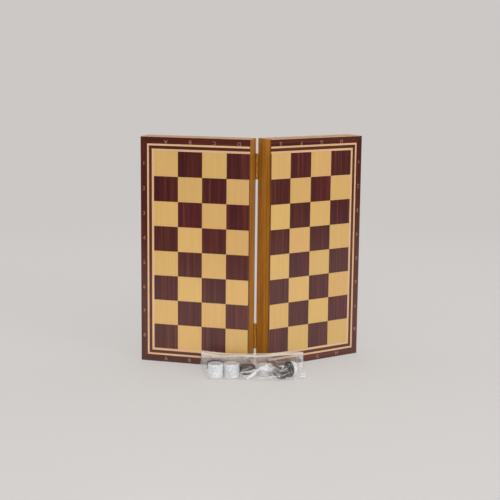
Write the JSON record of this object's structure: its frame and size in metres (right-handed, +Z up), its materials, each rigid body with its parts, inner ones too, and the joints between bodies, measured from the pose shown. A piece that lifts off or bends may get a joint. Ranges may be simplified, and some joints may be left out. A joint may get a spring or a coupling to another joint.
{
  "type": "chess and backgammon set",
  "caption": "Folding wooden box of two hinged trays, standing part open on its end: inlaid chessboard outside, backgammon field inside, with a clear zip bag of checkers in front.",
  "frame": {"origin": "on the floor, midway between the trays' rearmost rims and the front of the bag, in line with the hinge pins", "axes": "+Z up along the hinge pins, -Y towards the playing faces and the bag, +X towards the tray with the hook"},
  "size_m": [0.2886, 0.1476, 0.292],
  "materials": {
    "light_wood": "varnished",
    "dark_wood": "varnished",
    "border_wood": "varnished",
    "pale_wood": "varnished",
    "line_wood": "varnished",
    "rail_wood": "varnished",
    "core_wood": "varnished",
    "hinge_brass": "antique",
    "film": "clear",
    "zip": "translucent",
    "white_plastic": "polished",
    "black_plastic": "polished"
  },
  "bodies": {
    "left_tray": {"bag_film": "film", "bag_zip": "zip", "black_checkers": "black_plastic", "latch_stud": "hinge_brass", "left_border_veneer": "border_wood", "left_bottom_rail": "rail_wood", "left_dark_line": "line_wood", "left_dark_points": "dark_wood", "left_dark_squares": "dark_wood", "left_field_ground": "core_wood", "left_inner_band": "pale_wood", "left_light_line": "pale_wood", "left_light_points": "light_wood", "left_light_squares": "light_wood", "left_outer_rail": "rail_wood", "left_panel_core": "core_wood", "left_spine_rail": "rail_wood", "left_top_rail": "rail_wood", "lower_hinge_left_leaf": "hinge_brass", "lower_hinge_pin": "hinge_brass", "upper_hinge_left_leaf": "hinge_brass", "upper_hinge_pin": "hinge_brass", "white_checkers": "white_plastic"},
    "right_tray": {"latch_pivot_screw": "hinge_brass", "lower_hinge_right_leaf": "hinge_brass", "right_border_veneer": "border_wood", "right_bottom_rail": "rail_wood", "right_dark_line": "line_wood", "right_dark_points": "dark_wood", "right_dark_squares": "dark_wood", "right_field_ground": "core_wood", "right_inner_band": "pale_wood", "right_light_line": "pale_wood", "right_light_points": "light_wood", "right_light_squares": "light_wood", "right_outer_rail": "rail_wood", "right_panel_core": "core_wood", "right_spine_rail": "rail_wood", "right_top_rail": "rail_wood", "upper_hinge_right_leaf": "hinge_brass"},
    "hook": {"latch_hook": "hinge_brass"}
  },
  "joints": [
    {"name": "board_hinge", "type": "hinge", "parent": "left_tray", "child": "right_tray", "pos_m": [0, 0.01404, 0.146], "axis": [0, 0, 1], "range_deg": [-48.9, 131.1]},
    {"name": "hook_pivot", "type": "hinge", "parent": "right_tray", "child": "hook", "pos_m": [0.13604, 0.066, 0.146], "axis": [0.9103, 0.4139, 0], "range_deg": [-90, 90]}
  ]
}
